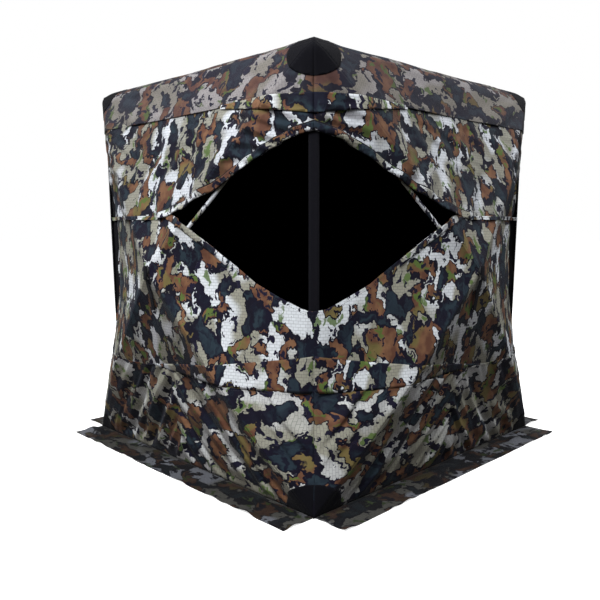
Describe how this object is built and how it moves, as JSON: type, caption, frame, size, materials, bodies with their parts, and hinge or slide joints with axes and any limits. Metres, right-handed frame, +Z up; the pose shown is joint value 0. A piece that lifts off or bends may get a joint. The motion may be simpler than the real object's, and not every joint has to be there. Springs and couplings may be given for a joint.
{
  "type": "pop up ground blind",
  "caption": "Cube-shaped hub hide of camouflage fabric on bowed fibreglass rods, with drawn window curtains, a zipped door and a ground skirt.",
  "frame": {"origin": "on the ground, at the centre of the floor", "axes": "+Z up; the walls face -Y (front), +X (right), +Y (back) and -X (left); the open window is at the corner between the front and right walls"},
  "size_m": [1.915, 1.915, 1.8575],
  "materials": {
    "camo_curtain": "printed polyester, slight sheen",
    "camo_band": "printed polyester, dull",
    "black_patch": "coated heavy fabric",
    "webbing": "woven strap",
    "fibreglass": "gloss",
    "hub_plastic": "satin moulded",
    "zip_tape": "woven tape"
  },
  "bodies": {
    "shell": {"roof_panel": "camo_band", "front_upper_curtain": "camo_curtain", "front_lower_curtain": "camo_curtain", "right_upper_curtain": "camo_curtain", "right_lower_curtain": "camo_curtain", "left_upper_curtain": "camo_curtain", "left_lower_curtain": "camo_curtain", "back_panel": "camo_curtain", "front_base_panel": "camo_band", "right_base_panel": "camo_band", "back_base_panel": "camo_band", "left_base_panel": "camo_band", "top_patch_front_right": "black_patch", "foot_patch_front_right": "black_patch", "corner_strap_front_right": "webbing", "top_patch_back_right": "black_patch", "foot_patch_back_right": "black_patch", "corner_strap_back_right": "webbing", "top_patch_back_left": "black_patch", "foot_patch_back_left": "black_patch", "corner_strap_back_left": "webbing", "top_patch_front_left": "black_patch", "foot_patch_front_left": "black_patch", "corner_strap_front_left": "webbing"},
    "hub_front": {"hub_front": "hub_plastic", "pull_strap_front": "webbing"},
    "rod_front_upper_right": {"rod_front_upper_right": "fibreglass"},
    "rod_front_upper_left": {"rod_front_upper_left": "fibreglass"},
    "rod_front_lower_left": {"rod_front_lower_left": "fibreglass"},
    "rod_front_lower_right": {"rod_front_lower_right": "fibreglass"},
    "hub_right": {"hub_right": "hub_plastic", "pull_strap_right": "webbing"},
    "rod_right_upper_right": {"rod_right_upper_right": "fibreglass"},
    "rod_right_upper_left": {"rod_right_upper_left": "fibreglass"},
    "rod_right_lower_left": {"rod_right_lower_left": "fibreglass"},
    "rod_right_lower_right": {"rod_right_lower_right": "fibreglass"},
    "hub_back": {"hub_back": "hub_plastic", "pull_strap_back": "webbing"},
    "rod_back_upper_right": {"rod_back_upper_right": "fibreglass"},
    "rod_back_upper_left": {"rod_back_upper_left": "fibreglass"},
    "rod_back_lower_left": {"rod_back_lower_left": "fibreglass"},
    "rod_back_lower_right": {"rod_back_lower_right": "fibreglass"},
    "hub_left": {"hub_left": "hub_plastic", "pull_strap_left": "webbing"},
    "rod_left_upper_right": {"rod_left_upper_right": "fibreglass"},
    "rod_left_upper_left": {"rod_left_upper_left": "fibreglass"},
    "rod_left_lower_left": {"rod_left_lower_left": "fibreglass"},
    "rod_left_lower_right": {"rod_left_lower_right": "fibreglass"},
    "hub_roof": {"hub_roof": "hub_plastic", "pull_strap_roof": "webbing"},
    "rod_roof_back_right": {"rod_roof_back_right": "fibreglass"},
    "rod_roof_back_left": {"rod_roof_back_left": "fibreglass"},
    "rod_roof_front_left": {"rod_roof_front_left": "fibreglass"},
    "rod_roof_front_right": {"rod_roof_front_right": "fibreglass"},
    "door_tape": {"door_zip_tape": "zip_tape"},
    "door": {"door_panel": "camo_curtain"}
  },
  "joints": [
    {"name": "hub_front_push", "type": "slide", "parent": "shell", "child": "hub_front", "axis": [0, 1, 0], "range_m": [0, 0.365], "deforming": ["pull_strap_front"]},
    {"name": "rod_front_upper_right_pin", "type": "hinge", "parent": "hub_front", "child": "rod_front_upper_right", "pos_m": [0.02691, -0.928, 0.8546], "axis": [0.7399, 0, -0.6727], "range_deg": [0, 20.28]},
    {"name": "rod_front_upper_left_pin", "type": "hinge", "parent": "hub_front", "child": "rod_front_upper_left", "pos_m": [-0.02691, -0.928, 0.8546], "axis": [0.7399, 0, 0.6727], "range_deg": [0, 20.28]},
    {"name": "rod_front_lower_left_pin", "type": "hinge", "parent": "hub_front", "child": "rod_front_lower_left", "pos_m": [-0.02691, -0.928, 0.7954], "axis": [-0.7399, 0, 0.6727], "range_deg": [0, 20.28]},
    {"name": "rod_front_lower_right_pin", "type": "hinge", "parent": "hub_front", "child": "rod_front_lower_right", "pos_m": [0.02691, -0.928, 0.7954], "axis": [-0.7399, 0, -0.6727], "range_deg": [0, 20.28]},
    {"name": "hub_right_push", "type": "slide", "parent": "shell", "child": "hub_right", "axis": [-1, 0, 0], "range_m": [0, 0.365], "deforming": ["pull_strap_right"]},
    {"name": "rod_right_upper_right_pin", "type": "hinge", "parent": "hub_right", "child": "rod_right_upper_right", "pos_m": [0.928, 0.02691, 0.8546], "axis": [0, 0.7399, -0.6727], "range_deg": [0, 20.28]},
    {"name": "rod_right_upper_left_pin", "type": "hinge", "parent": "hub_right", "child": "rod_right_upper_left", "pos_m": [0.928, -0.02691, 0.8546], "axis": [0, 0.7399, 0.6727], "range_deg": [0, 20.28]},
    {"name": "rod_right_lower_left_pin", "type": "hinge", "parent": "hub_right", "child": "rod_right_lower_left", "pos_m": [0.928, -0.02691, 0.7954], "axis": [0, -0.7399, 0.6727], "range_deg": [0, 20.28]},
    {"name": "rod_right_lower_right_pin", "type": "hinge", "parent": "hub_right", "child": "rod_right_lower_right", "pos_m": [0.928, 0.02691, 0.7954], "axis": [0, -0.7399, -0.6727], "range_deg": [0, 20.28]},
    {"name": "hub_back_push", "type": "slide", "parent": "shell", "child": "hub_back", "axis": [0, -1, 0], "range_m": [0, 0.365], "deforming": ["pull_strap_back"]},
    {"name": "rod_back_upper_right_pin", "type": "hinge", "parent": "hub_back", "child": "rod_back_upper_right", "pos_m": [-0.02691, 0.928, 0.8546], "axis": [-0.7399, 0, -0.6727], "range_deg": [0, 20.28]},
    {"name": "rod_back_upper_left_pin", "type": "hinge", "parent": "hub_back", "child": "rod_back_upper_left", "pos_m": [0.02691, 0.928, 0.8546], "axis": [-0.7399, 0, 0.6727], "range_deg": [0, 20.28]},
    {"name": "rod_back_lower_left_pin", "type": "hinge", "parent": "hub_back", "child": "rod_back_lower_left", "pos_m": [0.02691, 0.928, 0.7954], "axis": [0.7399, 0, 0.6727], "range_deg": [0, 20.28]},
    {"name": "rod_back_lower_right_pin", "type": "hinge", "parent": "hub_back", "child": "rod_back_lower_right", "pos_m": [-0.02691, 0.928, 0.7954], "axis": [0.7399, 0, -0.6727], "range_deg": [0, 20.28]},
    {"name": "hub_left_push", "type": "slide", "parent": "shell", "child": "hub_left", "axis": [1, 0, 0], "range_m": [0, 0.365], "deforming": ["pull_strap_left"]},
    {"name": "rod_left_upper_right_pin", "type": "hinge", "parent": "hub_left", "child": "rod_left_upper_right", "pos_m": [-0.928, -0.02691, 0.8546], "axis": [0, -0.7399, -0.6727], "range_deg": [0, 20.28]},
    {"name": "rod_left_upper_left_pin", "type": "hinge", "parent": "hub_left", "child": "rod_left_upper_left", "pos_m": [-0.928, 0.02691, 0.8546], "axis": [0, -0.7399, 0.6727], "range_deg": [0, 20.28]},
    {"name": "rod_left_lower_left_pin", "type": "hinge", "parent": "hub_left", "child": "rod_left_lower_left", "pos_m": [-0.928, 0.02691, 0.7954], "axis": [0, 0.7399, 0.6727], "range_deg": [0, 20.28]},
    {"name": "rod_left_lower_right_pin", "type": "hinge", "parent": "hub_left", "child": "rod_left_lower_right", "pos_m": [-0.928, -0.02691, 0.7954], "axis": [0, 0.7399, -0.6727], "range_deg": [0, 20.28]},
    {"name": "hub_roof_push", "type": "slide", "parent": "shell", "child": "hub_roof", "axis": [0, 0, -1], "range_m": [0, 0.365], "deforming": ["pull_strap_roof"]},
    {"name": "rod_roof_back_right_pin", "type": "hinge", "parent": "hub_roof", "child": "rod_roof_back_right", "pos_m": [0.02828, 0.02828, 1.828], "axis": [0.7071, -0.7071, 0], "range_deg": [0, 21.32]},
    {"name": "rod_roof_back_left_pin", "type": "hinge", "parent": "hub_roof", "child": "rod_roof_back_left", "pos_m": [-0.02828, 0.02828, 1.828], "axis": [0.7071, 0.7071, 0], "range_deg": [0, 21.32]},
    {"name": "rod_roof_front_left_pin", "type": "hinge", "parent": "hub_roof", "child": "rod_roof_front_left", "pos_m": [-0.02828, -0.02828, 1.828], "axis": [-0.7071, 0.7071, 0], "range_deg": [0, 21.32]},
    {"name": "rod_roof_front_right_pin", "type": "hinge", "parent": "hub_roof", "child": "rod_roof_front_right", "pos_m": [0.02828, -0.02828, 1.828], "axis": [-0.7071, -0.7071, 0], "range_deg": [0, 21.32]},
    {"name": "door_tape_follow", "type": "hinge", "parent": "shell", "child": "door_tape", "pos_m": [-0.7203, 0.7203, 0.825], "axis": [0.036, -0.036, -0.9987], "range_deg": [0, 28.38]},
    {"name": "door_swing", "type": "hinge", "parent": "door_tape", "child": "door", "pos_m": [-0.7203, 0.7203, 0.825], "axis": [-0.036, 0.036, 0.9987], "range_deg": [0, 110]}
  ],
  "couplings": [
    {"joint": "rod_front_upper_right_pin", "follows": "hub_front_push", "rad_per_m": 0.9673},
    {"joint": "rod_front_upper_left_pin", "follows": "hub_front_push", "rad_per_m": 0.9673},
    {"joint": "rod_front_lower_left_pin", "follows": "hub_front_push", "rad_per_m": 0.9673},
    {"joint": "rod_front_lower_right_pin", "follows": "hub_front_push", "rad_per_m": 0.9673},
    {"joint": "rod_right_upper_right_pin", "follows": "hub_right_push", "rad_per_m": 0.9673},
    {"joint": "rod_right_upper_left_pin", "follows": "hub_right_push", "rad_per_m": 0.9673},
    {"joint": "rod_right_lower_left_pin", "follows": "hub_right_push", "rad_per_m": 0.9673},
    {"joint": "rod_right_lower_right_pin", "follows": "hub_right_push", "rad_per_m": 0.9673},
    {"joint": "rod_back_upper_right_pin", "follows": "hub_back_push", "rad_per_m": 0.9673},
    {"joint": "rod_back_upper_left_pin", "follows": "hub_back_push", "rad_per_m": 0.9673},
    {"joint": "rod_back_lower_left_pin", "follows": "hub_back_push", "rad_per_m": 0.9673},
    {"joint": "rod_back_lower_right_pin", "follows": "hub_back_push", "rad_per_m": 0.9673},
    {"joint": "rod_left_upper_right_pin", "follows": "hub_left_push", "rad_per_m": 0.9673},
    {"joint": "rod_left_upper_left_pin", "follows": "hub_left_push", "rad_per_m": 0.9673},
    {"joint": "rod_left_lower_left_pin", "follows": "hub_left_push", "rad_per_m": 0.9673},
    {"joint": "rod_left_lower_right_pin", "follows": "hub_left_push", "rad_per_m": 0.9673},
    {"joint": "rod_roof_back_right_pin", "follows": "hub_roof_push", "rad_per_m": 1.0169},
    {"joint": "rod_roof_back_left_pin", "follows": "hub_roof_push", "rad_per_m": 1.0169},
    {"joint": "rod_roof_front_left_pin", "follows": "hub_roof_push", "rad_per_m": 1.0169},
    {"joint": "rod_roof_front_right_pin", "follows": "hub_roof_push", "rad_per_m": 1.0169},
    {"joint": "door_tape_follow", "follows": "hub_back_push", "rad_per_m": 1.3545}
  ]
}
